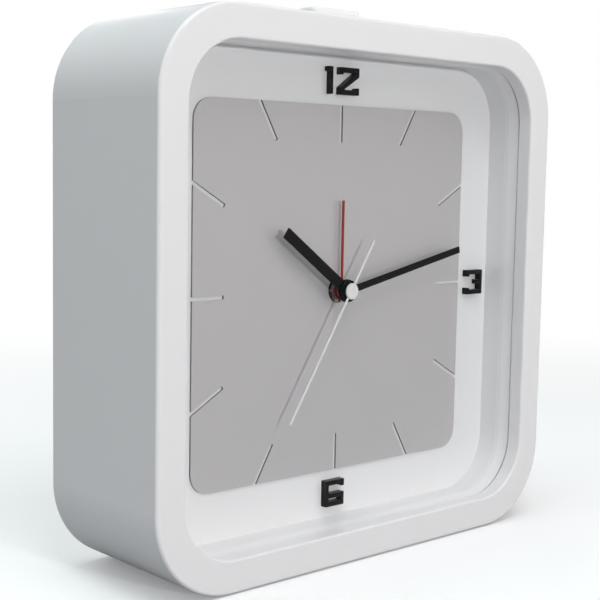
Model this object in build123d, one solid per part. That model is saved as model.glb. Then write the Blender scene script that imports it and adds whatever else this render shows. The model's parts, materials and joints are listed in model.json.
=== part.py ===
"""Square table and wall alarm clock, 200 x 200 mm face, built as separate pieces.

Axes: X to the right seen from the front, Z up, the dial faces -Y.
Most pieces are set out by their depth behind the front plane of the case
and by (x, z) measured from the centre of the dial.
"""
from build123d import *
from math import acos, atan2, cos, pi, radians, sin, tan
import os

os.makedirs("parts", exist_ok=True)

# ---------------------------------------------------------------- driving sizes (mm)
CASE_SIZE = 200.0            # height and width of the case
CASE_DEPTH = 64.0            # front rim to rear rim
CASE_CORNER = 32.0           # outer corner radius
RIM_WIDTH = 12.0             # flat front rim
RIM_EASE = 0.8               # rounding of the rim's inner edge
FRONT_EASE = 1.2             # rounding of the outer front edge
BACK_EASE = 0.8
WALL = 3.0                   # side walls of the case
CENTRE_Z = CASE_SIZE / 2     # height of the dial centre

LENS_DEPTH = 6.0             # front of the lens behind the rim
LENS_THICK = 2.0
DIAL_DEPTH = 23.2            # white face of the tray
TRAY_FLOOR = 2.0
TRAY_WALL = 1.8
OPENING_HALF = CASE_SIZE / 2 - RIM_WIDTH
OPENING_CORNER = 22.0

PLATE_HALF = 70.0            # metal dial plate
PLATE_THICK = 0.8
PLATE_CORNER = 8.0
SLOT_INNER_HALF = 56.0       # inner ends of the slots lie on this square
SLOT_WIDTH = 1.4
NUMERAL_HEIGHT = 10.2
NUMERAL_THICK = 2.75
NUMERAL_MID = 79.0           # dial centre to middle of the 12 and the 6

# hand angles at rest, clockwise from 12, as the clock reads 10:12:35 with the alarm at 12
HOUR_ANGLE = 306.0
MINUTE_ANGLE = 77.4
SECOND_ANGLE = 212.0
ALARM_ANGLE = 0.0

# concentric shafts, from the inside out: radii of arbor and tubes
SECOND_ARBOR = 0.45
FIT = 0.05                   # radial running clearance
TUBE_WALL = 0.65
MINUTE_TUBE = SECOND_ARBOR + FIT + TUBE_WALL
HOUR_TUBE = MINUTE_TUBE + FIT + TUBE_WALL
ALARM_TUBE = HOUR_TUBE + FIT + TUBE_WALL
BUSHING = 3.8
NUT_OUTER = 4.75

# movement box
MOVE_HALF = 30.0             # half width
MOVE_TOP = 26.0
MOVE_BOTTOM = -34.0
MOVE_WALL = 1.5
MOVE_FRONT = DIAL_DEPTH + TRAY_FLOOR
MOVE_BACK = MOVE_FRONT + 18.0
MOVE_SPLIT = 36.0            # joint between front and rear halves
PIVOT_ARBOR = 0.4
PIVOT_DEPTH = 0.8

# rear cover
COVER_DEPTH = CASE_DEPTH - 6.0   # inner face of the cover
COVER_THICK = 2.0
TUB_HALF = 36.0
TUB_TOP = 32.0
TUB_BOTTOM = -40.0
TUB_WALL = 1.6
TUB_FLOOR = MOVE_BACK + 0.4

# snooze button
BUTTON_X = 24.0
BUTTON_Y = 12.0
BUTTON_HEIGHT = 6.0
BUTTON_DEPTH = 30.0          # centre of the button behind the front plane
BUTTON_TRAVEL = 1.5
BUTTON_CORNER = 3.0

PRESSURE = radians(20)


# ---------------------------------------------------------------- helpers
def y_at(depth):
    return depth - CASE_DEPTH / 2


def slab(outline, front, back):
    """Outline in (x, z) about the dial centre, between two depths."""
    plane = Plane(origin=(0, y_at(back), CENTRE_Z), x_dir=(1, 0, 0), z_dir=(0, -1, 0))
    return extrude(plane * outline, amount=back - front)


def at(outline, place):
    return Pos(place[0], place[1]) * outline


def disc(radius, front, back, place=(0, 0), bore=0.0):
    outline = Circle(radius)
    if bore:
        outline -= Circle(bore)
    return slab(at(outline, place), front, back)


def block(x0, x1, z0, z1, front, back):
    outline = at(Rectangle(x1 - x0, z1 - z0), ((x0 + x1) / 2, (z0 + z1) / 2))
    return slab(outline, front, back)


def rounded_square(half, corner):
    return RectangleRounded(2 * half, 2 * half, corner)


def polar(radius, angle_deg, origin=(0, 0)):
    """Point at a clock angle (clockwise from straight up)."""
    a = radians(angle_deg)
    return (origin[0] + radius * sin(a), origin[1] + radius * cos(a))


def polygon(*points):
    return make_face(Polyline(*points, close=True))


def wire_run(points, radius):
    """Round wire through (x, depth, z) points with mitred bends."""
    spots = [Vector(x, y_at(d), CENTRE_Z + z) for x, d, z in points]
    path = Polyline(*spots)
    start = Plane(origin=spots[0], z_dir=spots[1] - spots[0])
    return sweep(start * Circle(radius), path=path, transition=Transition.RIGHT)


def coil(place, axis_dir, mean_radius, wire, length, pitch):
    """Helical spring that starts at place (x, depth, z) and runs along axis_dir."""
    helix = Helix(pitch=pitch, height=length - 2 * wire, radius=mean_radius)
    profile = Plane(origin=helix @ 0, z_dir=helix % 0) * Circle(wire)
    spring = sweep(profile, path=helix, is_frenet=True)
    origin = Vector(place[0], y_at(place[1]), CENTRE_Z + place[2]) + Vector(*axis_dir) * wire
    return Plane(origin=origin, z_dir=axis_dir) * spring


def save(name, shape):
    shape.label = name
    export_step(shape, f"parts/{name}.step")


def save_group(name, shapes):
    save(name, Compound(children=shapes))


# ---------------------------------------------------------------- gears
ADDENDUM = 0.8
DEDENDUM = 1.05
TOOTH_SHARE = 0.42           # tooth thickness over pitch, the rest is gap and backlash


def involute(angle):
    return tan(angle) - angle


def gear_outline(teeth, module, phase):
    """Involute spur gear; phase is the direction of one tooth in radians from +x."""
    pitch_r = teeth * module / 2
    base_r = pitch_r * cos(PRESSURE)
    tip_r = pitch_r + ADDENDUM * module
    root_r = pitch_r - DEDENDUM * module
    half = TOOTH_SHARE * pi / teeth + involute(PRESSURE)

    def half_angle(r):
        return half - involute(acos(min(1.0, base_r / r)))

    radii = sorted({root_r, max(base_r, root_r), pitch_r, tip_r})
    points = []
    for k in range(teeth):
        middle = phase + 2 * pi * k / teeth
        rising = [(r, middle - half_angle(r)) for r in radii]
        falling = [(r, middle + half_angle(r)) for r in reversed(radii)]
        points += [(r * cos(a), r * sin(a)) for r, a in rising + falling]
    return polygon(*points)


def mesh_phase(centre_a, phase_a, teeth_a, centre_b, teeth_b):
    """Phase that puts a gap of gear b over the matching tooth of gear a."""
    line = atan2(centre_b[1] - centre_a[1], centre_b[0] - centre_a[0])
    past_tooth = (line - phase_a) * teeth_a / (2 * pi)
    return line + pi - (0.5 - past_tooth) * 2 * pi / teeth_b


def gear(place, teeth, module, phase, front, back, bore=0.0):
    outline = at(gear_outline(teeth, module, phase), place)
    if bore:
        outline -= at(Circle(bore), place)
    return slab(outline, front, back)


# tooth counts and modules
MOTION_MODULE = 0.35
CANNON_TEETH, MOTION_TEETH = 10, 30
MOTION_PINION, HOUR_TEETH = 8, 32
SETTING_PINION = 10
THIRD_MODULE = 0.2
SECOND_PINION, THIRD_TEETH = 8, 60
THIRD_PINION, CENTRE_TEETH = 8, 64
SECOND_MODULE = 0.23
SECOND_TEETH, INTERMEDIATE_PINION = 50, 10
ROTOR_MODULE = 0.19
INTERMEDIATE_TEETH, ROTOR_PINION = 60, 10
ALARM_MODULE = 0.38
ALARM_TEETH, ALARM_PINION = 30, 20

# arbor places in (x, z) about the dial centre
CENTRE = (0.0, 0.0)
MOTION_REACH = (CANNON_TEETH + MOTION_TEETH) / 2 * MOTION_MODULE
THIRD_REACH = (SECOND_PINION + THIRD_TEETH) / 2 * THIRD_MODULE
CENTRE_MODULE = 2 * THIRD_REACH / (THIRD_PINION + CENTRE_TEETH)
SECOND_REACH = (SECOND_TEETH + INTERMEDIATE_PINION) / 2 * SECOND_MODULE
ROTOR_REACH = (INTERMEDIATE_TEETH + ROTOR_PINION) / 2 * ROTOR_MODULE
ALARM_REACH = (ALARM_TEETH + ALARM_PINION) / 2 * ALARM_MODULE
MOTION_AT = polar(MOTION_REACH, 110)
SETTING_AT = polar(MOTION_REACH, 96.6, MOTION_AT)
THIRD_AT = polar(THIRD_REACH, 50)
INTERMEDIATE_AT = polar(SECOND_REACH, 320)
ROTOR_AT = polar(ROTOR_REACH, 335, INTERMEDIATE_AT)
ALARM_SET_AT = polar(ALARM_REACH, 258)

# gear layers, as depths behind the front plane
LAYER_ALARM = (27.1, 28.1)
LAYER_HOUR = (28.5, 29.5)
LAYER_MOTION = (30.0, 31.0)
LAYER_CENTRE = (31.6, 32.6)
LAYER_THIRD = (33.6, 34.6)
LAYER_SECOND = (35.4, 36.4)
LAYER_INTERMEDIATE = (36.9, 37.7)

ARBOR_FRONT = MOVE_FRONT + MOVE_WALL - PIVOT_DEPTH + 0.1
ARBOR_BACK = MOVE_BACK - MOVE_WALL + PIVOT_DEPTH - 0.1

# hand layers
SECOND_LAYER = (14.9, 15.2)
CAP_LAYER = (14.2, 14.9)
MINUTE_LAYER = (16.1, 16.6)
HOUR_LAYER = (17.2, 17.8)
ALARM_LAYER = (20.2, 20.6)
BUSHING_END = 21.4


# ---------------------------------------------------------------- case
TRAY_HALF = OPENING_HALF + 0.5
TRAY_OUTER = TRAY_HALF + TRAY_WALL
LENS_HALF = TRAY_OUTER
LENS_CORNER = OPENING_CORNER + 2.4
SHELL_INNER = CASE_SIZE / 2 - WALL
CORNER_BOSS = 86.2
COVER_SCREW = 1.25
TRAY_BOSS_X = 93.8
TRAY_BOSS_Z = 45.0
SWITCH_BOSS_X = 17.0
FLANGE_TOP = SHELL_INNER - 0.1
BOARD_TOP = 86.0
SWITCH_TOP = BOARD_TOP + 4.2


def signs():
    return [(sx, sz) for sx in (-1, 1) for sz in (-1, 1)]


def corner_places():
    return [(sx * CORNER_BOSS, sz * CORNER_BOSS) for sx, sz in signs()]


def tray_screw_places():
    return [(sx * TRAY_BOSS_X, sz * TRAY_BOSS_Z) for sx, sz in signs()]


def upright(width, depth, z0, z1, centre_depth=BUTTON_DEPTH, x=0.0, corner=0.0):
    """Block with its outline in plan, between two heights above the dial centre."""
    outline = RectangleRounded(width, depth, corner) if corner else Rectangle(width, depth)
    plane = Plane(origin=(x, y_at(centre_depth), CENTRE_Z + z0))
    return extrude(plane * outline, amount=z1 - z0)


def pillar(radius, z0, z1, x, centre_depth=BUTTON_DEPTH):
    plane = Plane(origin=(x, y_at(centre_depth), CENTRE_Z + z0))
    return extrude(plane * Circle(radius), amount=z1 - z0)


def case_shell():
    outer = rounded_square(CASE_SIZE / 2, CASE_CORNER)
    opening = rounded_square(OPENING_HALF, OPENING_CORNER)
    inner = rounded_square(SHELL_INNER, CASE_CORNER - WALL)
    shell = slab(outer, 0, CASE_DEPTH)
    front_edge = shell.faces().sort_by(Axis.Y)[0].edges()
    shell = fillet(front_edge, FRONT_EASE)
    back_edge = shell.faces().sort_by(Axis.Y)[-1].edges()
    shell = fillet(back_edge, BACK_EASE)
    shell -= slab(opening, -1, LENS_DEPTH + 1)
    opening_edge = shell.faces().sort_by(Axis.Y)[0].inner_wires()[0].edges()
    shell = fillet(opening_edge, RIM_EASE)
    shell -= slab(inner, LENS_DEPTH, CASE_DEPTH + 1)
    for place in corner_places():
        shell += disc(3.4, LENS_DEPTH, COVER_DEPTH, place)
        shell -= disc(COVER_SCREW, COVER_DEPTH - 12, COVER_DEPTH, place)
    for place in tray_screw_places():
        boss = disc(2.8, LENS_DEPTH, DIAL_DEPTH, place)
        boss += block(place[0] - 2.8, place[0] + 2.8, place[1] - 1.2, place[1] + 1.2,
                      LENS_DEPTH, DIAL_DEPTH) & slab(outer, 0, DIAL_DEPTH)
        boss -= slab(rounded_square(LENS_HALF + 0.2, LENS_CORNER), 0, DIAL_DEPTH)
        shell += boss
        shell -= disc(1.0, DIAL_DEPTH - 8, DIAL_DEPTH, place)
    for side in (-1, 1):
        shell += pillar(2.5, BOARD_TOP, SHELL_INNER + 1, side * SWITCH_BOSS_X)
        shell -= pillar(0.9, BOARD_TOP, BOARD_TOP + 6, side * SWITCH_BOSS_X)
    shell -= upright(BUTTON_X + 0.6, BUTTON_Y + 0.6, SHELL_INNER - 1, CASE_SIZE / 2 + 1,
                     corner=BUTTON_CORNER + 0.3)
    return shell


def lens():
    return slab(rounded_square(LENS_HALF, LENS_CORNER), LENS_DEPTH, LENS_DEPTH + LENS_THICK)


def dial_tray():
    tray = slab(rounded_square(TRAY_OUTER, LENS_CORNER), LENS_DEPTH + LENS_THICK, MOVE_FRONT)
    tray -= slab(rounded_square(TRAY_HALF, OPENING_CORNER + 0.5), 0, DIAL_DEPTH)
    for x, z in tray_screw_places():
        side = 1 if x > 0 else -1
        reach = side * (SHELL_INNER - 0.6)
        ear = block(min(side * (TRAY_OUTER - 1), reach), max(side * (TRAY_OUTER - 1), reach),
                    z - 4, z + 4, DIAL_DEPTH, MOVE_FRONT)
        tray += ear
        tray -= disc(1.25, DIAL_DEPTH, MOVE_FRONT, (x, z))
    tray -= disc(NUT_OUTER + 0.25, 0, DIAL_DEPTH + 0.6)
    tray -= disc(BUSHING + 0.2, 0, MOVE_FRONT)
    return tray


def dial_plate():
    plate = slab(rounded_square(PLATE_HALF, PLATE_CORNER), DIAL_DEPTH - PLATE_THICK, DIAL_DEPTH)
    plate -= disc(NUT_OUTER + 0.25, 0, DIAL_DEPTH)
    slots = []
    for hour in range(12):
        angle = 30.0 * hour
        stretch = 1 / max(abs(sin(radians(angle))), abs(cos(radians(angle))))
        inner = SLOT_INNER_HALF * stretch
        outer = PLATE_HALF * stretch + 3
        line = at(Rectangle(SLOT_WIDTH, outer - inner), (0, (inner + outer) / 2))
        slot = Rotation(0, 0, -angle) * line
        slots.append(slab(slot, DIAL_DEPTH - PLATE_THICK, DIAL_DEPTH))
    return plate - slots


# ---------------------------------------------------------------- numerals
BAR = 1.85                   # thickness of the level strokes
STEM = 1.5                   # width of the upright strokes
SERIF = 2.7                  # height of the hooks at the ends of the strokes
WIDE = 9.55                  # width of the 2, the 3, the 6 and the 9
TOP = NUMERAL_HEIGHT
ONE_WIDE = 2.0
ONE_STEM = 1.0
ONE_FLAG = 1.75
TWO_HOOK = 1.25              # width of the hooks of the 2
TWO_KNEE = 3.45              # height of the knee under the top right corner
TWO_SLANT = 1.6              # level width of the slanting stroke
THREE_NUB = 2.0
SIX_LOOP = 5.1               # height of the closed loop
GAP_12 = 4.05
SHIFT_12 = -0.7              # the applied numerals sit a little left of the centre line
SHIFT_6 = -1.2
MID_3 = 78.4


def digit_one():
    return polygon((0, TOP), (ONE_WIDE, TOP), (ONE_WIDE, 0), (ONE_WIDE - ONE_STEM, 0),
                   (ONE_WIDE - ONE_STEM, TOP - ONE_FLAG), (0, TOP - ONE_FLAG))


def digit_two():
    return polygon((0, TOP), (WIDE, TOP), (WIDE, TOP - TWO_KNEE), (TWO_SLANT, BAR),
                   (WIDE - TWO_HOOK, BAR), (WIDE - TWO_HOOK, SERIF), (WIDE, SERIF), (WIDE, 0),
                   (0, 0), (0, SERIF), (WIDE - TWO_SLANT, TOP - BAR), (TWO_HOOK, TOP - BAR),
                   (TWO_HOOK, TOP - SERIF), (0, TOP - SERIF))


def digit_three():
    right = WIDE - STEM
    low, high = (TOP - BAR) / 2, (TOP + BAR) / 2
    return polygon((0, TOP), (WIDE, TOP), (WIDE, 0), (0, 0), (0, SERIF), (STEM, SERIF),
                   (STEM, BAR), (right, BAR), (right, low), (right - THREE_NUB, low),
                   (right - THREE_NUB, high), (right, high), (right, TOP - BAR),
                   (STEM, TOP - BAR), (STEM, TOP - SERIF), (0, TOP - SERIF))


def digit_six():
    right = WIDE - STEM
    outline = polygon((0, 0), (WIDE, 0), (WIDE, SIX_LOOP), (STEM, SIX_LOOP), (STEM, TOP - BAR),
                      (right, TOP - BAR), (right, TOP - SERIF), (WIDE, TOP - SERIF), (WIDE, TOP),
                      (0, TOP))
    return outline - polygon((STEM, BAR), (right, BAR), (right, SIX_LOOP - BAR),
                             (STEM, SIX_LOOP - BAR))


def numeral(outline, x, z):
    """Applied numeral with the lower left corner of its outline at (x, z)."""
    solid = slab(at(outline, (x, z)), DIAL_DEPTH - NUMERAL_THICK, DIAL_DEPTH)
    return fillet(solid.edges().filter_by(Axis.Y), 0.15)


def numerals():
    left_12 = SHIFT_12 - (ONE_WIDE + GAP_12 + WIDE) / 2
    low_12 = NUMERAL_MID - TOP / 2
    one = numeral(digit_one(), left_12, low_12)
    two = numeral(digit_two(), left_12 + ONE_WIDE + GAP_12, low_12)
    save_group("numeral_12", [one, two])
    save("numeral_3", numeral(digit_three(), MID_3 - WIDE / 2, -0.4 - TOP / 2))
    save("numeral_6", numeral(digit_six(), SHIFT_6 - WIDE / 2, -NUMERAL_MID - TOP / 2))
    nine = Rotation(0, 0, 180) * digit_six()
    save("numeral_9", numeral(nine, WIDE / 2 - MID_3, TOP / 2))


# ---------------------------------------------------------------- hands
def hand(angle, layer, bore, hub, width, length, tail=0.0):
    """Flat hand with a round hub, pointing at a clock angle."""
    blade = at(Rectangle(width, length + tail), (0, (length - tail) / 2))
    outline = Rotation(0, 0, -angle) * (blade + Circle(hub)) - Circle(bore)
    return slab(outline, *layer)


def hands():
    save("alarm_hand", hand(ALARM_ANGLE, ALARM_LAYER, ALARM_TUBE, 3.8, 1.1, 34.2)
         + disc(3.1, ALARM_LAYER[1], ALARM_LAYER[1] + 0.4, bore=ALARM_TUBE))
    save("hour_hand", hand(HOUR_ANGLE, HOUR_LAYER, HOUR_TUBE, 4.4, 4.3, 38.7))
    save("hour_hand_collet", disc(2.9, HOUR_LAYER[1], HOUR_LAYER[1] + 1.8, bore=HOUR_TUBE))
    save("minute_hand", hand(MINUTE_ANGLE, MINUTE_LAYER, MINUTE_TUBE, 4.2, 2.7, 64.6))
    save("second_hand", hand(SECOND_ANGLE, SECOND_LAYER, SECOND_ARBOR, 1.8, 1.0, 56.3, 22.4))
    cap = disc(3.1, *CAP_LAYER)
    cap = fillet(cap.edges().sort_by(Axis.Y)[0], 0.4)
    save("second_hand_cap", cap - disc(SECOND_ARBOR, 14.6, 14.9))


# ---------------------------------------------------------------- movement gears
def arbor(radius, front, back, place=CENTRE):
    return disc(radius, front, back, place)


def gear_train():
    cannon_phase = 0.0
    motion_phase = mesh_phase(CENTRE, cannon_phase, CANNON_TEETH, MOTION_AT, MOTION_TEETH)
    setting_phase = mesh_phase(MOTION_AT, motion_phase, MOTION_TEETH, SETTING_AT, SETTING_PINION)
    motion_pinion_phase = 0.3
    hour_phase = mesh_phase(MOTION_AT, motion_pinion_phase, MOTION_PINION, CENTRE, HOUR_TEETH)
    third_phase = mesh_phase(CENTRE, 0.0, SECOND_PINION, THIRD_AT, THIRD_TEETH)
    centre_phase = mesh_phase(THIRD_AT, 0.2, THIRD_PINION, CENTRE, CENTRE_TEETH)
    inter_pinion_phase = mesh_phase(CENTRE, 0.1, SECOND_TEETH, INTERMEDIATE_AT, INTERMEDIATE_PINION)
    rotor_phase = mesh_phase(INTERMEDIATE_AT, 0.4, INTERMEDIATE_TEETH, ROTOR_AT, ROTOR_PINION)
    alarm_set_phase = mesh_phase(CENTRE, 0.0, ALARM_TEETH, ALARM_SET_AT, ALARM_PINION)

    save("alarm_wheel", gear(CENTRE, ALARM_TEETH, ALARM_MODULE, 0.0, *LAYER_ALARM,
                             bore=HOUR_TUBE + FIT)
         + disc(ALARM_TUBE, ALARM_LAYER[0] - 0.1, LAYER_ALARM[1], bore=HOUR_TUBE + FIT))
    save("hour_wheel", gear(CENTRE, HOUR_TEETH, MOTION_MODULE, hour_phase, *LAYER_HOUR,
                            bore=MINUTE_TUBE + FIT)
         + disc(HOUR_TUBE, HOUR_LAYER[0] - 0.1, LAYER_HOUR[1], bore=MINUTE_TUBE + FIT))
    save("cannon_pinion", gear(CENTRE, CANNON_TEETH, MOTION_MODULE, cannon_phase, 29.8, 31.2,
                               bore=SECOND_ARBOR + FIT)
         + disc(MINUTE_TUBE, MINUTE_LAYER[0] - 0.2, 33.0, bore=SECOND_ARBOR + FIT))
    save("centre_wheel", gear(CENTRE, CENTRE_TEETH, CENTRE_MODULE, centre_phase, *LAYER_CENTRE,
                              bore=MINUTE_TUBE + FIT))
    save("motion_wheel", gear(MOTION_AT, MOTION_TEETH, MOTION_MODULE, motion_phase, *LAYER_MOTION)
         + gear(MOTION_AT, MOTION_PINION, MOTION_MODULE, motion_pinion_phase, 28.3, LAYER_MOTION[0])
         + arbor(PIVOT_ARBOR, ARBOR_FRONT, ARBOR_BACK, MOTION_AT))
    save("third_wheel", gear(THIRD_AT, THIRD_TEETH, THIRD_MODULE, third_phase, *LAYER_THIRD)
         + gear(THIRD_AT, THIRD_PINION, CENTRE_MODULE, 0.2, 31.4, LAYER_THIRD[0])
         + arbor(PIVOT_ARBOR, ARBOR_FRONT, ARBOR_BACK, THIRD_AT))
    save("second_wheel", gear(CENTRE, SECOND_TEETH, SECOND_MODULE, 0.1, *LAYER_SECOND)
         + gear(CENTRE, SECOND_PINION, THIRD_MODULE, 0.0, 33.4, LAYER_SECOND[0])
         + arbor(SECOND_ARBOR, 14.6, ARBOR_BACK))
    save("intermediate_wheel", gear(INTERMEDIATE_AT, INTERMEDIATE_TEETH, ROTOR_MODULE, 0.4,
                                    *LAYER_INTERMEDIATE)
         + gear(INTERMEDIATE_AT, INTERMEDIATE_PINION, SECOND_MODULE, inter_pinion_phase,
                35.2, LAYER_INTERMEDIATE[0])
         + arbor(PIVOT_ARBOR, ARBOR_FRONT, ARBOR_BACK, INTERMEDIATE_AT))
    save("rotor", disc(2.6, 34.2, 36.3, ROTOR_AT)
         + gear(ROTOR_AT, ROTOR_PINION, ROTOR_MODULE, rotor_phase, 36.3, 37.9)
         + arbor(PIVOT_ARBOR, ARBOR_FRONT, ARBOR_BACK, ROTOR_AT))
    save("time_set_stem", gear(SETTING_AT, SETTING_PINION, MOTION_MODULE, setting_phase, 29.8, 31.2)
         + arbor(1.0, 31.2, KNOB_TOP - 1.5, SETTING_AT)
         + arbor(PIVOT_ARBOR, ARBOR_FRONT, 29.8, SETTING_AT))
    save("alarm_set_stem", gear(ALARM_SET_AT, ALARM_PINION, ALARM_MODULE, alarm_set_phase,
                                *LAYER_ALARM)
         + arbor(1.0, LAYER_ALARM[1], KNOB_TOP - 1.5, ALARM_SET_AT)
         + arbor(PIVOT_ARBOR, ARBOR_FRONT, LAYER_ALARM[0], ALARM_SET_AT))


# ---------------------------------------------------------------- knobs and switch
KNOB_BASE = MOVE_BACK + 0.8
KNOB_TOP = KNOB_BASE + 7.0
KNOB_RADIUS = 5.0
KNOB_RIBS = 20
SWITCH_X = 20.0
SWITCH_Z = 10.0
SWITCH_TRAVEL = 4.0


def knob(place):
    body = disc(KNOB_RADIUS, KNOB_BASE, KNOB_TOP, place)
    body = chamfer(body.edges().sort_by(Axis.Y)[-1], 0.5)
    spots = [polar(KNOB_RADIUS + 0.05, 360 * k / KNOB_RIBS, place) for k in range(KNOB_RIBS)]
    grooves = [disc(0.4, KNOB_BASE + 1.2, KNOB_TOP, spot) for spot in spots]
    return body - grooves - disc(1.0, KNOB_BASE, KNOB_TOP - 1.5, place)


def alarm_switch_slider():
    low = SWITCH_Z - SWITCH_TRAVEL / 2
    cap = block(SWITCH_X - 2.5, SWITCH_X + 2.5, low - 3.5, low + 3.5, MOVE_BACK + 0.1, MOVE_BACK + 2.1)
    ribs = [block(SWITCH_X - 2.0, SWITCH_X + 2.0, low + dz - 0.3, low + dz + 0.3,
                  MOVE_BACK + 2.1, MOVE_BACK + 2.5) for dz in (-2.4, -1.2, 0, 1.2, 2.4)]
    neck = block(SWITCH_X - 1.2, SWITCH_X + 1.2, low - 1.8, low + 1.8, MOVE_BACK - 1.6, MOVE_BACK + 0.1)
    foot = block(SWITCH_X - 2.4, SWITCH_X + 2.4, low - 2.5, low + 2.5, MOVE_BACK - 2.2, MOVE_BACK - 1.6)
    return cap + neck + foot + ribs


# ---------------------------------------------------------------- movement box
BAY_HALF = 26.8
BAY_TOP = -16.65
BAY_BOTTOM = -31.35
BAY_FLOOR = 28.1
BAY_WALL = 1.0
BATTERY_RADIUS = 7.25
BATTERY_Z = (BAY_TOP + BAY_BOTTOM) / 2
BATTERY_DEPTH = MOVE_BACK - BATTERY_RADIUS - 0.35
STATOR = (34.9, 35.9)
COIL_Z = 19.2
COIL_DEPTH = 36.4
BOARD = (38.2, 39.2)
STATOR_POSTS = ((-15.5, 11.0), (11.5, 13.0))
BOARD_POSTS = ((25.5, 4.0), (25.5, 22.0))
PIVOTS = (MOTION_AT, THIRD_AT, INTERMEDIATE_AT, ROTOR_AT)
STEMS = (SETTING_AT, ALARM_SET_AT)


def movement_front_case():
    box = block(-MOVE_HALF, MOVE_HALF, MOVE_BOTTOM, MOVE_TOP, MOVE_FRONT, MOVE_SPLIT)
    box -= block(-MOVE_HALF + MOVE_WALL, MOVE_HALF - MOVE_WALL, MOVE_BOTTOM + MOVE_WALL,
                 MOVE_TOP - MOVE_WALL, MOVE_FRONT + MOVE_WALL, MOVE_SPLIT)
    box += disc(BUSHING, BUSHING_END, MOVE_FRONT)
    box -= disc(ALARM_TUBE + FIT, 0, MOVE_SPLIT)
    for place in STATOR_POSTS:
        box += disc(1.5, MOVE_FRONT + MOVE_WALL, STATOR[0], place)
    for place in BOARD_POSTS:
        box += disc(1.3, MOVE_FRONT + MOVE_WALL, BOARD[0], place)
    inner = MOVE_FRONT + MOVE_WALL
    for place in PIVOTS + STEMS:
        box -= disc(PIVOT_ARBOR + FIT, inner - PIVOT_DEPTH, inner, place)
    return box


def movement_rear_case():
    box = block(-MOVE_HALF, MOVE_HALF, MOVE_BOTTOM, MOVE_TOP, MOVE_SPLIT, MOVE_BACK)
    box -= block(-MOVE_HALF + MOVE_WALL, MOVE_HALF - MOVE_WALL, MOVE_BOTTOM + MOVE_WALL,
                 MOVE_TOP - MOVE_WALL, MOVE_SPLIT, MOVE_BACK - MOVE_WALL)
    box += block(-BAY_HALF - BAY_WALL, BAY_HALF + BAY_WALL, BAY_BOTTOM - BAY_WALL, BAY_TOP + BAY_WALL,
                 BAY_FLOOR - BAY_WALL, MOVE_BACK)
    box -= block(-BAY_HALF, BAY_HALF, BAY_BOTTOM, BAY_TOP, BAY_FLOOR, MOVE_BACK)
    inner = MOVE_BACK - MOVE_WALL
    for place in PIVOTS:
        box -= disc(PIVOT_ARBOR + FIT, inner, inner + PIVOT_DEPTH, place)
    box -= disc(SECOND_ARBOR + FIT, inner, inner + PIVOT_DEPTH)
    for place in STEMS:
        box -= disc(1.08, inner, MOVE_BACK, place)
    box -= block(SWITCH_X - 1.4, SWITCH_X + 1.4, SWITCH_Z - 4.0, SWITCH_Z + 4.0, inner, MOVE_BACK)
    return box


def mounting_nut():
    nut = disc(NUT_OUTER, BUSHING_END + 0.2, DIAL_DEPTH + 0.6, bore=BUSHING)
    notch = at(Rectangle(1.2, 3.0), (0, 4.8))
    notches = [slab(Rotation(0, 0, turn) * notch, BUSHING_END, BUSHING_END + 0.8)
               for turn in (0, 90, 180, 270)]
    return nut - notches


def stator():
    plate = block(-18, 14, 7.2, 15.0, *STATOR)
    plate += block(-18, -13.2, 15.0, 21.6, *STATOR) + block(9.2, 14, 15.0, 21.6, *STATOR)
    return plate - disc(3.1, *STATOR, ROTOR_AT)


def along_x(radius, x0, x1, z, depth, bore=0.0):
    outline = Circle(radius) - Circle(bore) if bore else Circle(radius)
    plane = Plane(origin=(x0, y_at(depth), CENTRE_Z + z), z_dir=(1, 0, 0))
    return extrude(plane * outline, amount=x1 - x0)


def coil_parts():
    core = block(-17.5, 13.5, COIL_Z - 1.5, COIL_Z + 1.5, STATOR[1], STATOR[1] + 1.0)
    hole = block(-12.6, 8.6, COIL_Z - 1.5, COIL_Z + 1.5, STATOR[1], STATOR[1] + 1.0)
    spool = along_x(2.1, -12.6, 8.6, COIL_Z, COIL_DEPTH)
    for x in (-12.6, 7.8):
        spool += along_x(3.8, x, x + 0.8, COIL_Z, COIL_DEPTH)
    save("coil_core", core)
    save("coil_bobbin", spool - hole)
    save("coil_winding", along_x(3.3, -11.8, 7.8, COIL_Z, COIL_DEPTH, bore=2.1))


def electronics():
    board = block(11.5, 27.5, 1.5, 24.0, *BOARD)
    save("circuit_board", board)
    save("control_chip", block(14.0, 20.0, 17.0, 23.0, BOARD[1], BOARD[1] + 1.2))
    crystal = Plane(origin=(24.4, y_at(BOARD[1] + 1.0), CENTRE_Z + 14.0)) * Circle(1.0)
    save("quartz_crystal", extrude(crystal, amount=6.0))
    contact = block(18.5, 21.5, 4.0, 14.5, BOARD[1], BOARD[1] + 0.3)
    save("alarm_switch_contact", contact)


def battery_parts():
    cell = along_x(BATTERY_RADIUS, -24.3, 24.9, BATTERY_Z, BATTERY_DEPTH)
    cell = fillet(cell.edges(), 0.5)
    cell += along_x(2.75, 24.9, 26.2, BATTERY_Z, BATTERY_DEPTH)
    save("battery", cell)
    save("battery_plus_contact", block(26.2, 26.8, BATTERY_Z - 4.5, BATTERY_Z + 4.5,
                                       BAY_FLOOR, BATTERY_DEPTH + 4.5))
    plate = block(-26.8, -26.4, BATTERY_Z - 5.5, BATTERY_Z + 5.5, BAY_FLOOR, BATTERY_DEPTH + 5.5)
    spring = coil((-26.4, BATTERY_DEPTH, BATTERY_Z), (1, 0, 0), 4.0, 0.25, 2.1, 0.7)
    save_group("battery_minus_contact", [plate, spring])


def alarm_contact_spring():
    leaf = block(-2.5, 0, -14.8, -6.3, 28.8, 29.1)
    foot = block(-2.5, 0, -15.1, -14.1, MOVE_FRONT + MOVE_WALL, 29.1)
    return leaf + foot


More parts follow.
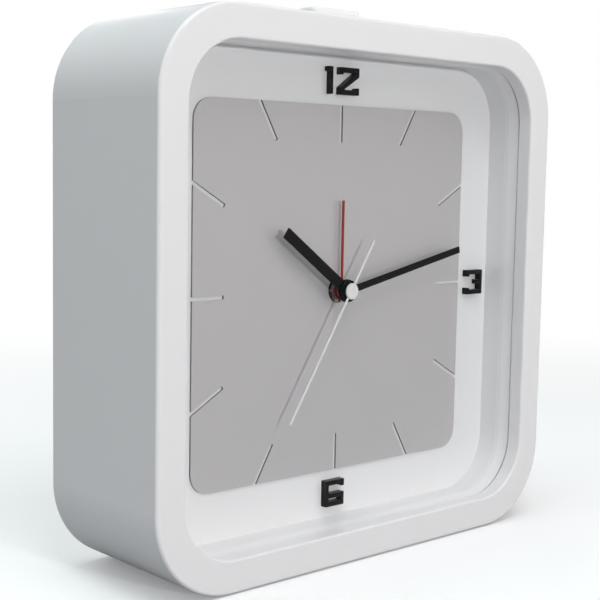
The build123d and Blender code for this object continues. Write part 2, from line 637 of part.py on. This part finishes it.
# ---------------------------------------------------------------- snooze button
def snooze_parts():
    crown = CASE_SIZE / 2 + BUTTON_HEIGHT
    button = upright(BUTTON_X, BUTTON_Y, SHELL_INNER - 1.3, crown, corner=BUTTON_CORNER)
    button = fillet(button.edges().group_by(Axis.Z)[-1], 1.0)
    button += upright(BUTTON_X + 5, BUTTON_Y + 4, FLANGE_TOP - 1.2, FLANGE_TOP,
                      corner=BUTTON_CORNER)
    button += pillar(1.2, SWITCH_TOP + BUTTON_TRAVEL + 0.1, FLANGE_TOP - 1.2, 0)
    save("snooze_button", button)
    spring = coil((0, BUTTON_DEPTH, BOARD_TOP), (0, 0, 1), 3.8, 0.3, FLANGE_TOP - 1.2 - BOARD_TOP, 1.6)
    save("snooze_spring", spring)
    save("snooze_switch", upright(4.4, 4.4, BOARD_TOP, SWITCH_TOP - 0.6)
         + pillar(1.6, SWITCH_TOP - 0.6, SWITCH_TOP, 0))
    board = upright(2 * SWITCH_BOSS_X + 8, 8.4, BOARD_TOP - 1.2, BOARD_TOP)
    screws = []
    for side in (-1, 1):
        board -= pillar(0.9, BOARD_TOP - 1.2, BOARD_TOP, side * SWITCH_BOSS_X)
        screws.append(pillar(0.9, BOARD_TOP - 1.2, BOARD_TOP + 5.5, side * SWITCH_BOSS_X)
                      + pillar(1.9, BOARD_TOP - 2.4, BOARD_TOP - 1.2, side * SWITCH_BOSS_X))
    save("snooze_board", board)
    save_group("snooze_board_screws", screws)


# ---------------------------------------------------------------- rear cover and inner wiring
BUZZER_AT = (60.0, -52.0)
HANGER_Z = 72.0


def cover_window():
    return (-MOVE_HALF + 1.5, MOVE_HALF - 1.5, MOVE_BOTTOM + 1.5, MOVE_TOP - 1.5)


def rear_cover():
    cover = slab(rounded_square(SHELL_INNER - 0.4, CASE_CORNER - WALL - 0.4),
                 COVER_DEPTH, COVER_DEPTH + COVER_THICK)
    cover += block(-TUB_HALF - TUB_WALL, TUB_HALF + TUB_WALL, TUB_BOTTOM - TUB_WALL, TUB_TOP + TUB_WALL,
                   TUB_FLOOR, COVER_DEPTH + COVER_THICK)
    cover -= block(-TUB_HALF, TUB_HALF, TUB_BOTTOM, TUB_TOP, TUB_FLOOR + TUB_WALL,
                   COVER_DEPTH + COVER_THICK)
    cover -= block(*cover_window(), TUB_FLOOR, TUB_FLOOR + TUB_WALL)
    back = COVER_DEPTH + COVER_THICK
    for place in corner_places():
        cover -= disc(COVER_SCREW + 0.2, COVER_DEPTH, back, place)
    cover -= disc(4.0, COVER_DEPTH, back, (0, HANGER_Z))
    cover -= block(-2.0, 2.0, HANGER_Z, HANGER_Z + 9, COVER_DEPTH, back)
    cover -= disc(2.0, COVER_DEPTH, back, (0, HANGER_Z + 9))
    for ring, count in ((0.0, 1), (4.0, 6), (8.0, 12)):
        for k in range(count):
            cover -= disc(0.9, COVER_DEPTH, back, polar(ring, 360 * k / count, BUZZER_AT))
    return cover


def screws_at(places, shank, head, head_height, under_head, length):
    """Pan-head screws driven in from behind, with a crossed slot."""
    screws = []
    for place in places:
        screw = disc(head, under_head, under_head + head_height, place)
        screw = fillet(screw.edges().sort_by(Axis.Y)[-1], 0.5)
        for turn in (0, 90):
            cut = Rotation(0, 0, turn) * Rectangle(0.6, 2.6)
            screw -= slab(at(cut, place), under_head + head_height - 0.7, under_head + head_height)
        screws.append(screw + disc(shank, under_head - length, under_head, place))
    return screws


def wiring():
    """Two-core leads from the snooze switch and the buzzer to the movement."""
    snooze_leads = [wire_run(((x, BUTTON_DEPTH, BOARD_TOP - 1.2), (x, BUTTON_DEPTH, 60.0),
                              (x, 33.0, 40.0), (x, 33.0, MOVE_TOP)), 0.5) for x in (-6.0, -4.2)]
    save_group("snooze_wires", snooze_leads)
    buzzer_leads = []
    for dz in (-0.9, 0.9):
        start_x, start_z = BUZZER_AT[0] - 8.0, BUZZER_AT[1] + dz
        route = ((start_x, COVER_DEPTH - 4.0, start_z), (start_x, 48.0, start_z),
                 (42.0, 34.0, -24.0 + dz), (36.0, 33.0, -10.0 + dz), (MOVE_HALF, 33.0, -10.0 + dz))
        buzzer_leads.append(wire_run(route, 0.5))
    save_group("buzzer_wires", buzzer_leads)


# ---------------------------------------------------------------- build
save("case_shell", case_shell())
save("lens", lens())
save("dial_tray", dial_tray())
save("dial_plate", dial_plate())
numerals()
save_group("tray_screws", screws_at(tray_screw_places(), 1.0, 2.2, 1.4, MOVE_FRONT, 8.0))
hands()
gear_train()
save("time_set_knob", knob(SETTING_AT))
save("alarm_set_knob", knob(ALARM_SET_AT))
save("alarm_switch_slider", alarm_switch_slider())
save("movement_front_case", movement_front_case())
save("movement_rear_case", movement_rear_case())
save("mounting_nut", mounting_nut())
save("stator", stator())
coil_parts()
electronics()
battery_parts()
save("alarm_contact_spring", alarm_contact_spring())
snooze_parts()
save("rear_cover", rear_cover())
save_group("rear_cover_screws", screws_at(corner_places(), COVER_SCREW, 2.8, 1.8,
                                          COVER_DEPTH + COVER_THICK, 13.0))
save("buzzer", disc(11.0, COVER_DEPTH - 4.0, COVER_DEPTH, BUZZER_AT))
wiring()
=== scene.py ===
"""Square alarm clock: finishes, softened edges, stage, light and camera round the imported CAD.

Everything is in metres. The dial faces -Y, up is +Z, and the clock stands on z = 0.
"""

import json
import math

import bmesh
import bpy
from mathutils import Matrix, Vector


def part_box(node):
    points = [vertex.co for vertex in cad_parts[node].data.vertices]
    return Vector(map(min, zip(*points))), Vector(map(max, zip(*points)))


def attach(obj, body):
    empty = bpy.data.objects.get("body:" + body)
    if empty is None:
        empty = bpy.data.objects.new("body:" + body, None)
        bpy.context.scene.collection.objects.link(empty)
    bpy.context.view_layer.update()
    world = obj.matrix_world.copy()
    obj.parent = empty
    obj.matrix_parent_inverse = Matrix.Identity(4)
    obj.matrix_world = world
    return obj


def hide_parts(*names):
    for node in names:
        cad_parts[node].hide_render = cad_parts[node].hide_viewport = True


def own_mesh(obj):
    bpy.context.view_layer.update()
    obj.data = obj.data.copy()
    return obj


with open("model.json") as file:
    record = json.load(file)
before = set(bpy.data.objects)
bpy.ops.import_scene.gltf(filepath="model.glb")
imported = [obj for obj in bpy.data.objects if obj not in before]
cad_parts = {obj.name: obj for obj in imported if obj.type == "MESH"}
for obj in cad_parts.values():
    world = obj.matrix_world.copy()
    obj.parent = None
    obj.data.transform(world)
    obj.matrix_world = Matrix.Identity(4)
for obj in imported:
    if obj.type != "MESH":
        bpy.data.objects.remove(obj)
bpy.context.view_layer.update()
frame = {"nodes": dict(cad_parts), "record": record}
nodes = frame["nodes"]
MM = 0.001
FRONT_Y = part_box("case_shell")[0].y
DIAL_Z = sum(corner.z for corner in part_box("case_shell")) / 2
WHITE = (1.0, 1.0, 1.0, 1.0)

# ---------------------------------------------------------------- shader helpers
MIX_A, MIX_B, MIX_RESULT = 6, 7, 2      # colour sockets of Blender's Mix node


class Tree:
    """The node tree of a material or a world, with short calls for the nodes used here."""

    def __init__(self, owner, output):
        owner.use_nodes = True
        self.tree = owner.node_tree
        self.output = self.tree.nodes[output]

    def add(self, kind, **values):
        node = self.tree.nodes.new(kind)
        for key, value in values.items():
            setattr(node, key, value)
        return node

    def link(self, source, target):
        self.tree.links.new(source, target)

    def fill(self, socket, value):
        """Links a socket to another, or sets it to a number or a colour."""
        if isinstance(value, bpy.types.NodeSocket):
            self.link(value, socket)
        else:
            socket.default_value = (*value, 1.0) if isinstance(value, tuple) else value

    def ramp(self, value, low, high, from_low=0.2, from_high=0.8):
        """Smooth step from low to high while the value goes from from_low to from_high."""
        node = self.add("ShaderNodeMapRange", interpolation_type="SMOOTHSTEP")
        for key, number in (("From Min", from_low), ("From Max", from_high),
                            ("To Min", low), ("To Max", high)):
            node.inputs[key].default_value = number
        self.link(value, node.inputs["Value"])
        return node.outputs["Result"]

    def calc(self, operation, first, second=0.0):
        node = self.add("ShaderNodeMath", operation=operation)
        self.fill(node.inputs[0], first)
        self.fill(node.inputs[1], second)
        return node.outputs[0]

    def part(self, vector, axis):
        """One coordinate of a vector."""
        split = self.add("ShaderNodeSeparateXYZ")
        self.link(vector, split.inputs[0])
        return split.outputs[axis]

    def rays(self):
        """Sockets that say which kind of ray is traced."""
        return self.add("ShaderNodeLightPath").outputs

    def layer(self, kind, **values):
        """Output of a new shader node, with its inputs set."""
        node = self.add(kind)
        for key, value in values.items():
            self.fill(node.inputs[key], value)
        return node.outputs[0]

    def mix(self, factor, first, second):
        """Shader that turns from the first into the second as the factor goes from 0 to 1."""
        node = self.add("ShaderNodeMixShader")
        for socket, source in zip(node.inputs, (factor, first, second)):
            self.link(source, socket)
        return node.outputs[0]

    def show(self, shader):
        self.link(shader, self.output.inputs["Surface"])


class Finish(Tree):
    """A material on Blender's Principled surface. Noise scales are features per metre."""

    def __init__(self, name):
        self.material = bpy.data.materials.new(name)
        super().__init__(self.material, "Material Output")
        self.surface = self.tree.nodes["Principled BSDF"]
        self.place = self.add("ShaderNodeTexCoord").outputs["Object"]

    def fixed(self, **values):
        """Sets inputs of the surface, named with underscores for spaces."""
        for key, value in values.items():
            self.surface.inputs[key.replace("_", " ")].default_value = value

    def drive(self, name, source):
        self.link(source, self.surface.inputs[name])

    def stretched(self, scale):
        """Object coordinates scaled by a different amount along each axis."""
        mapping = self.add("ShaderNodeMapping")
        mapping.inputs["Scale"].default_value = scale
        self.link(self.place, mapping.inputs["Vector"])
        return mapping.outputs["Vector"]

    def noise(self, scale, detail, rough=0.5, vector=None):
        node = self.add("ShaderNodeTexNoise")
        node.inputs["Scale"].default_value = scale
        node.inputs["Detail"].default_value = detail
        node.inputs["Roughness"].default_value = rough
        self.link(vector or self.place, node.inputs["Vector"])
        return node.outputs["Fac"]

    def drift(self, scale, detail):
        """Slow change between 0 and 1 across the surface."""
        return self.ramp(self.noise(scale, detail), 0.0, 1.0)

    def blend(self, factor, first, second):
        """Colour between two colours, each given as numbers or as a socket."""
        node = self.add("ShaderNodeMix", data_type="RGBA")
        self.link(factor, node.inputs["Factor"])
        self.fill(node.inputs[MIX_A], first)
        self.fill(node.inputs[MIX_B], second)
        return node.outputs[MIX_RESULT]

    def colour(self, source):
        self.drive("Base Color", source)

    def tinted(self, colour, spread, drift):
        """Base colour that drifts between slightly darker and slightly lighter."""
        self.colour(self.blend(drift, shade(colour, 1 - spread), shade(colour, 1 + spread)))

    def recolour(self, where, colour):
        """Lays a plain colour over the base colour where the mask is 1."""
        under = self.surface.inputs["Base Color"].links[0].from_socket
        self.colour(self.blend(where, under, colour))

    def sides(self, limit):
        """1 on faces that look along the dial, 0 on faces that look to the front or back."""
        normal = self.add("ShaderNodeNewGeometry").outputs["Normal"]
        return self.calc("LESS_THAN", self.calc("ABSOLUTE", self.part(normal, "Y")), limit)

    def bump(self, height, depth, under=None):
        """Relief of a depth in mm, laid over the relief under it."""
        node = self.add("ShaderNodeBump")
        node.inputs["Distance"].default_value = depth * MM
        self.link(height, node.inputs["Height"])
        if under:
            self.link(under, node.inputs["Normal"])
        self.drive("Normal", node.outputs["Normal"])
        return node.outputs["Normal"]


def shade(colour, amount):
    return tuple(min(1.0, c * amount) for c in colour)


def moulded(slot, colour, rough, grain=2600.0, depth=0.004, spread=0.03, rough_spread=0.05,
            waves=60.0, waves_depth=0.02, **fixed):
    """Plastic or paint: slow tone drift, fine grain, and the slight waviness of a moulded face."""
    s = Finish(slot)
    s.tinted(colour, spread, s.drift(scale=18.0, detail=2.0))
    s.drive("Roughness", s.ramp(s.noise(scale=70.0, detail=2.0),
                                rough - rough_spread, rough + rough_spread))
    soft = s.bump(s.noise(waves, detail=1.0), waves_depth)
    s.bump(s.noise(grain, detail=2.0), depth, under=soft)
    s.fixed(**fixed)
    return s


METAL_SPREAD = 0.05         # tone drift of metal, as a share of its colour
METAL_ROUGH_SPREAD = 0.07


def metal(slot, colour, rough, along=(1.0, 1.0, 1.0), grain=900.0, metallic=1.0):
    """Metal with brushing or turning lines that run across the stretched axes."""
    s = Finish(slot)
    lines = s.noise(grain, detail=3.0, rough=0.6, vector=s.stretched(along))
    s.tinted(colour, METAL_SPREAD, s.drift(scale=25.0, detail=4.0))
    s.drive("Roughness", s.ramp(lines, rough - METAL_ROUGH_SPREAD, rough + METAL_ROUGH_SPREAD))
    s.bump(lines, depth=0.003)
    s.fixed(Metallic=metallic)
    return s


# ---------------------------------------------------------------- finishes, one for each slot
PAINT = dict(colour=(0.006, 0.006, 0.0065), depth=0.002, spread=0.15, waves_depth=0.004,
             Specular_IOR_Level=0.2)
MOULDED = {
    "case_white": dict(colour=(0.81, 0.80, 0.807), rough=0.36, depth=0.0012, spread=0.006,
                       rough_spread=0.02, waves=30.0, waves_depth=0.006, Coat_Weight=0.12,
                       Coat_Roughness=0.22),
    "dial_white": dict(colour=(0.885, 0.878, 0.884), rough=0.36, depth=0.0015, spread=0.006,
                       waves_depth=0.008),
    "cover_white": dict(colour=(0.76, 0.76, 0.75), rough=0.5, grain=1500.0, depth=0.03,
                        spread=0.02),
    "numeral_black": dict(rough=0.32, **PAINT),
    "hand_black": dict(rough=0.42, **PAINT),
    "hand_red": dict(colour=(0.30, 0.022, 0.018), rough=0.35, spread=0.06),
    "hand_white": dict(colour=(0.80, 0.80, 0.79), rough=0.35, spread=0.01),
    "gear_nylon": dict(colour=(0.72, 0.68, 0.58), rough=0.42, Subsurface_Weight=0.08,
                       Subsurface_Scale=0.001),
    "bobbin_plastic": dict(colour=(0.05, 0.05, 0.055), rough=0.4),
    "board_green": dict(colour=(0.012, 0.085, 0.035), rough=0.3, spread=0.12),
    "chip_black": dict(colour=(0.022, 0.022, 0.022), rough=0.55, grain=1900.0, depth=0.02),
    "knob_black": dict(colour=(0.038, 0.038, 0.040), rough=0.42, grain=2000.0, depth=0.012,
                       spread=0.1),
    "buzzer_black": dict(colour=(0.03, 0.03, 0.03), rough=0.4),
    "wire_sleeve": dict(colour=(0.30, 0.016, 0.014), rough=0.38),
}
METALS = {
    "screw_steel": dict(colour=(0.60, 0.60, 0.62), rough=0.3, grain=1400.0),
    "arbor_brass": dict(colour=(0.68, 0.50, 0.22), rough=0.26, along=(1.0, 6.0, 1.0)),
    "rotor_ferrite": dict(colour=(0.06, 0.06, 0.065), rough=0.55, metallic=0.6),
    "core_steel": dict(colour=(0.42, 0.42, 0.44), rough=0.34, along=(1.0, 1.0, 8.0)),
    "winding_copper": dict(colour=(0.55, 0.22, 0.09), rough=0.3, along=(9.0, 1.0, 1.0)),
    "crystal_can": dict(colour=(0.70, 0.70, 0.71), rough=0.16),
    "contact_nickel": dict(colour=(0.66, 0.64, 0.59), rough=0.22),
}


def lens_clear(slot):
    """Clear window. Lamp and bounce light pass straight through it, as through a thin pane."""
    s = Finish(slot)
    s.fixed(IOR=1.49, Transmission_Weight=1.0, Roughness=0.0)
    s.colour(s.blend(s.drift(scale=30.0, detail=2.0), (0.990, 0.996, 0.995),
                     (0.996, 0.999, 0.998)))
    rays = s.rays()
    rough_bounce = s.calc("SUBTRACT", rays["Is Glossy Ray"], rays["Is Singular Ray"])
    straight = s.calc("MAXIMUM", rays["Is Shadow Ray"], rays["Is Diffuse Ray"])
    straight = s.calc("MAXIMUM", straight, rough_bounce)
    pane = s.layer("ShaderNodeBsdfTransparent", Color=(0.985, 0.988, 0.988))
    s.show(s.mix(straight, s.surface.outputs[0], pane))
    return s


def plate_metal(slot):
    """Satin sheet with very fine level brushing; its side faces are coloured darker as painted
    shade.
    """
    dark, light, brushed = (0.672, 0.646, 0.655), (0.692, 0.666, 0.675), (0.702, 0.679, 0.687)
    painted_edge_shade = (0.22, 0.22, 0.225)
    s = Finish(slot)
    lines = s.noise(scale=260.0, detail=4.0, rough=0.65, vector=s.stretched((1.0, 1.0, 14.0)))
    face = s.blend(s.drift(scale=9.0, detail=3.0), dark, light)
    s.colour(s.blend(s.ramp(lines, 0.0, 1.0), face, brushed))
    # painted shade: the plate's side faces are coloured dark grey, as if in shadow
    s.recolour(s.sides(limit=0.6), painted_edge_shade)
    s.drive("Roughness", s.ramp(lines, 0.36, 0.44))
    s.bump(lines, depth=0.0012)
    s.fixed(Metallic=0.4)
    return s


def movement_black(slot):
    """Matt black moulding; its threaded bushing, in front of the dial tray, is nickel plated."""
    nickel, nickel_metallic = (0.50, 0.47, 0.51), 0.8
    bushing_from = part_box("dial_tray")[1].y - 0.2 * MM
    s = moulded(slot, (0.030, 0.030, 0.032), 0.48, grain=1700.0, depth=0.02, spread=0.12)
    bushing = s.calc("LESS_THAN", s.part(s.place, "Y"), bushing_from)
    s.recolour(bushing, nickel)
    s.drive("Metallic", s.calc("MULTIPLY", bushing, nickel_metallic))
    return s


def nut_nickel(slot):
    """Nickel-plated faces on turned rings whose outer walls are coloured near black as painted
    shade of the gap round them.
    """
    nickel, painted_wall_shade = (0.60, 0.575, 0.61), (0.03, 0.03, 0.032)
    s = metal(slot, nickel, 0.28, grain=1600.0)
    # painted shade: the outer walls are coloured near black for the shadowed gap round the nut
    s.recolour(s.sides(limit=0.5), painted_wall_shade)
    return s


def battery_wrap(slot):
    """Plain sleeve: dark body, a metallic band near the plus end, bare steel ends."""
    band_from, plus_end, minus_end = 0.70, 0.955, 0.012     # shares of the battery's length
    sleeve, scuffed = (0.018, 0.03, 0.075), (0.03, 0.045, 0.10)
    band_gold, bare_steel = (0.42, 0.30, 0.12), (0.55, 0.55, 0.56)
    s = Finish(slot)
    low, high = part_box("battery")
    along = s.ramp(s.part(s.place, "X"), 0.0, 1.0, low.x, high.x)
    scuffs = s.ramp(s.noise(scale=240.0, detail=6.0, rough=0.6), 0.0, 1.0, 0.35, 0.75)
    s.colour(s.blend(scuffs, sleeve, scuffed))
    band = s.calc("GREATER_THAN", along, band_from)
    ends = s.calc("MAXIMUM", s.calc("GREATER_THAN", along, plus_end),
                  s.calc("LESS_THAN", along, minus_end))
    s.recolour(band, band_gold)
    s.recolour(ends, bare_steel)
    s.drive("Metallic", s.calc("MAXIMUM", band, ends))
    s.drive("Roughness", s.ramp(scuffs, 0.22, 0.36, 0.0, 1.0))
    s.bump(scuffs, depth=0.004)
    return s


SPECIAL = {
    "lens_clear": lens_clear,
    "plate_metal": plate_metal,
    "movement_black": movement_black,
    "nut_nickel": nut_nickel,
    "battery_wrap": battery_wrap,
}


def build_finishes():
    """Materials by slot."""
    built = {slot: moulded(slot, **look) for slot, look in MOULDED.items()}
    built.update((slot, metal(slot, **look)) for slot, look in METALS.items())
    built.update((slot, build(slot)) for slot, build in SPECIAL.items())
    return {slot: finish.material for slot, finish in built.items()}


def dress_nodes(finishes):
    for row in frame["record"]["subparts"]:
        data = nodes[row["node"]].data
        data.materials.clear()
        data.materials.append(finishes[row["material_slot"]])


# ---------------------------------------------------------------- snooze return spring
WIRE = 0.3 * MM                 # radius of the wire
SPRING_PITCH = 1.6 * MM         # rise of an open turn, nearly
CLOSED_PITCH = 2.1 * WIRE       # rise of a closed end turn
END_GAP = 0.03 * MM             # left free above the top turn
OPENING = (0.7, 1.3)            # turns from each end between which the pitch opens
RING, STEPS = 14, 48            # corners of the wire's section, and sections in a turn


def smooth(a, b, x):
    t = min(1.0, max(0.0, (x - a) / (b - a)))
    return t * t * (3 - 2 * t)


def coil_mesh(name, centre, radius, base, rise):
    """Closed wire coil about a vertical axis, from base up by rise, with closed end turns."""
    turns = 2 + round((rise - 2 * CLOSED_PITCH) / SPRING_PITCH)
    opening = [smooth(*OPENING, k / STEPS) * smooth(*OPENING, turns - k / STEPS)
               for k in range(turns * STEPS + 1)]
    extra = (rise - CLOSED_PITCH * turns) * STEPS / sum(opening[1:])
    heights = [0.0]
    for share in opening[1:]:
        heights.append(heights[-1] + (CLOSED_PITCH + extra * share) / STEPS)
    mesh = bmesh.new()
    rings = []
    for k, height in enumerate(heights):
        turn = 2 * math.pi * k / STEPS
        out = Vector((math.cos(turn), math.sin(turn), 0.0))
        climb = (CLOSED_PITCH + extra * opening[k]) / (2 * math.pi)
        along = Vector((-out.y * radius, out.x * radius, climb)).normalized()
        up = along.cross(-out)
        spot = Vector((centre.x, centre.y, base + height)) + out * radius
        rings.append([mesh.verts.new(spot + (out * math.cos(a) + up * math.sin(a)) * WIRE)
                      for a in (2 * math.pi * j / RING for j in range(RING))])
    for first, second in zip(rings, rings[1:]):
        for j in range(RING):
            after = (j + 1) % RING
            mesh.faces.new((first[j], first[after], second[after], second[j])).smooth = True
    mesh.faces.new(rings[0][::-1])
    mesh.faces.new(rings[-1])
    bmesh.ops.recalc_face_normals(mesh, faces=mesh.faces)
    data = bpy.data.meshes.new(name)
    mesh.to_mesh(data)
    mesh.free()
    return data


def place_mesh(data, material):
    """New object of the mesh's name, with one material."""
    data.materials.append(material)
    piece = bpy.data.objects.new(data.name, data)
    bpy.context.scene.collection.objects.link(piece)
    return piece


def return_spring(finish):
    """Coil spring with closed ends, fixed to the case in the CAD spring's place."""
    low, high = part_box("snooze_spring")
    centre = (low + high) / 2
    length = high.z - low.z
    spring = place_mesh(coil_mesh("snooze_return_spring", centre, (high.x - low.x) / 2 - WIRE,
                                  low.z + WIRE, length - 2 * WIRE - END_GAP), finish)
    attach(spring, "case")
    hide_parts("snooze_spring")
    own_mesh(spring)


# ---------------------------------------------------------------- softened edges
WELD_GAP = 1e-6
FLAT_ANGLE = math.radians(0.4)      # facets closer to level than this are joined
EDGE_ANGLE = math.radians(35)       # edges sharper than this are broken
BEVEL_SEGMENTS = 2
FACE_WEIGHT = 60
SOFT_EDGES = {                      # width of the broken edge, mm
    "numeral_12": 0.14, "numeral_3": 0.14, "numeral_6": 0.14, "numeral_9": 0.14,
    "hour_hand": 0.08, "minute_hand": 0.07, "second_hand": 0.05, "alarm_hand": 0.05,
    "dial_plate": 0.06, "mounting_nut": 0.10, "alarm_switch_slider": 0.15,
    "rear_cover": 0.30, "movement_rear_case": 0.20,
}


def soften(node, width):
    """Breaks the sharp edges of a CAD piece by a small bevel, in mm, and evens its shading."""
    piece = nodes[node]
    weld = piece.modifiers.new("weld", "WELD")
    weld.merge_threshold = WELD_GAP
    flat = piece.modifiers.new("flat", "DECIMATE")
    flat.decimate_type = "DISSOLVE"
    flat.angle_limit = FLAT_ANGLE
    bevel = piece.modifiers.new("bevel", "BEVEL")
    bevel.width = width * MM
    bevel.segments = BEVEL_SEGMENTS
    bevel.limit_method = "ANGLE"
    bevel.angle_limit = EDGE_ANGLE
    bevel.miter_outer = "MITER_ARC"
    even = piece.modifiers.new("even", "WEIGHTED_NORMAL")
    even.weight = FACE_WEIGHT


# ---------------------------------------------------------------- stage
FLOOR_HALF, FLOOR_STEPS = 4.0, 32
FLOOR_Z = -0.3 * MM                 # just under the clock's base
FLOOR_LIFT = 0.18                   # glow of the paper where the camera sees it
ROOM_GLOW = 0.36                    # brightness of the room as a light
WINDOW_MIRROR = 0.03                # and of its image in the clear window
FADE_FROM, FADE_TO = 0.22, 0.75     # distances at which the seen paper turns white
BOUNCE_FROM, BOUNCE_TO = 0.15, 0.45     # and at which its bounce light turns into room glow


def room_glow(tree):
    """Strength of the room's light, much weaker for rays mirrored by the clear window."""
    return tree.ramp(tree.rays()["Is Singular Ray"], ROOM_GLOW, WINDOW_MIRROR, 0.0, 1.0)


def floor_paper():
    """White paper that fades into the white studio away from the clock.

    Rays that light the clock see it as a duller surface, like a floor kept out of the light.
    """
    s = Finish("studio_paper")
    s.colour(s.blend(s.drift(scale=6.0, detail=5.0), (0.86, 0.86, 0.86), (0.88, 0.88, 0.88)))
    s.fixed(Roughness=0.9, Specular_IOR_Level=0.1, Emission_Strength=FLOOR_LIFT,
            Emission_Color=WHITE)
    reach = s.add("ShaderNodeVectorMath", operation="LENGTH")
    s.link(s.place, reach.inputs[0])
    distance = reach.outputs["Value"]
    seen = s.mix(s.ramp(distance, 0.0, 1.0, FADE_FROM, FADE_TO), s.surface.outputs[0],
                 s.layer("ShaderNodeEmission"))
    rays = s.rays()
    far = s.calc("MAXIMUM", s.ramp(distance, 0.0, 1.0, BOUNCE_FROM, BOUNCE_TO),
                 rays["Is Singular Ray"])
    bounce = s.mix(far, s.layer("ShaderNodeBsdfDiffuse", Color=(0.42, 0.42, 0.425)),
                   s.layer("ShaderNodeEmission", Strength=room_glow(s)))
    s.show(s.mix(rays["Is Camera Ray"], bounce, seen))
    return s.material


def studio_floor():
    """Pale level floor under the clock, as one even grid."""
    marks = [FLOOR_HALF * (2 * k / FLOOR_STEPS - 1) for k in range(FLOOR_STEPS + 1)]
    mesh = bmesh.new()
    rows = [[mesh.verts.new((x, y, FLOOR_Z)) for x in marks] for y in marks]
    for low, high in zip(rows, rows[1:]):
        for k in range(FLOOR_STEPS):
            mesh.faces.new((low[k], low[k + 1], high[k + 1], high[k])).smooth = True
    data = bpy.data.meshes.new("studio_floor")
    mesh.to_mesh(data)
    mesh.free()
    floor = place_mesh(data, floor_paper())


# ---------------------------------------------------------------- light
AIM = Vector((0.0, FRONT_Y, DIAL_Z))
NEUTRAL = (1.0, 1.0, 1.0)
COOL = (0.80, 0.99, 1.0)
WARM = (1.0, 0.93, 0.92)
LIGHTS = {      # place, width and height, power in watts, tint
    "key": ((-0.06, -1.25, 0.22), (0.05, 0.05), 5.1, NEUTRAL),
    "near_top": ((-0.15, -0.45, 0.80), (0.45, 0.45), 2.3, NEUTRAL),
    "overhead": ((-0.35, 0.15, 1.4), (1.2, 1.2), 6.0, COOL),
    "left": ((-1.4, -0.2, 0.75), (0.9, 0.9), 2.0, COOL),
    "right_mid": ((1.0, -1.0, 0.75), (0.9, 0.5), 2.0, WARM),
    "back": ((0.3, 1.4, 0.40), (0.9, 0.9), 6.0, NEUTRAL),
}
UNMIRRORED = ("key",)       # straight in front, where the window and the plate would mirror it


def area_lamp(name, place, size, power, tint):
    """Rectangular lamp turned to the middle of the clock's front."""
    data = bpy.data.lights.new(name, "AREA")
    data.shape = "RECTANGLE"
    data.size, data.size_y = size
    data.energy = power
    data.color = tint
    lamp = bpy.data.objects.new(name, data)
    lamp.location = place
    lamp.rotation_euler = (AIM - Vector(place)).to_track_quat("-Z", "Y").to_euler()
    lamp.visible_glossy = lamp.visible_transmission = name not in UNMIRRORED
    bpy.context.scene.collection.objects.link(lamp)


def surround():
    """White studio round the clock: an even glow as a light, and plain white to the camera."""
    world = bpy.data.worlds.new("studio")
    bpy.context.scene.world = world
    s = Tree(world, "World Output")
    glow = s.layer("ShaderNodeBackground", Color=(0.985, 0.98, 1.0), Strength=room_glow(s))
    seen = s.layer("ShaderNodeBackground", Color=(1.0, 1.0, 1.0))
    s.show(s.mix(s.rays()["Is Camera Ray"], glow, seen))


# ---------------------------------------------------------------- camera
FOCAL_PIXELS, PHOTO_PIXELS = 1252.667, 600.0        # fitted to the photo, and its width
SENSOR = 36.0                                       # mm
YAW, PITCH, ROLL = -0.736785, -0.101968, -0.018329
EYE = Vector((-0.33229, FRONT_Y - 0.323225, DIAL_Z + 0.044737))


def camera():
    data = bpy.data.cameras.new("camera")
    data.sensor_width = SENSOR
    data.lens = FOCAL_PIXELS / PHOTO_PIXELS * SENSOR
    turn = (Matrix.Rotation(YAW, 3, "Z") @ Matrix.Rotation(PITCH, 3, "X")
            @ Matrix.Rotation(ROLL, 3, "Y"))
    right, forward, up = turn.col
    pose = Matrix((right, up, -forward)).transposed().to_4x4()
    pose.translation = EYE
    eye = bpy.data.objects.new("camera", data)
    eye.matrix_world = pose
    bpy.context.scene.collection.objects.link(eye)
    bpy.context.scene.camera = eye


finishes = build_finishes()
dress_nodes(finishes)
return_spring(finishes["contact_nickel"])
for node, width in SOFT_EDGES.items():
    soften(node, width)
studio_floor()
surround()
for name, settings in LIGHTS.items():
    area_lamp(name, *settings)
camera()
bpy.context.scene.view_settings.view_transform = "Standard"
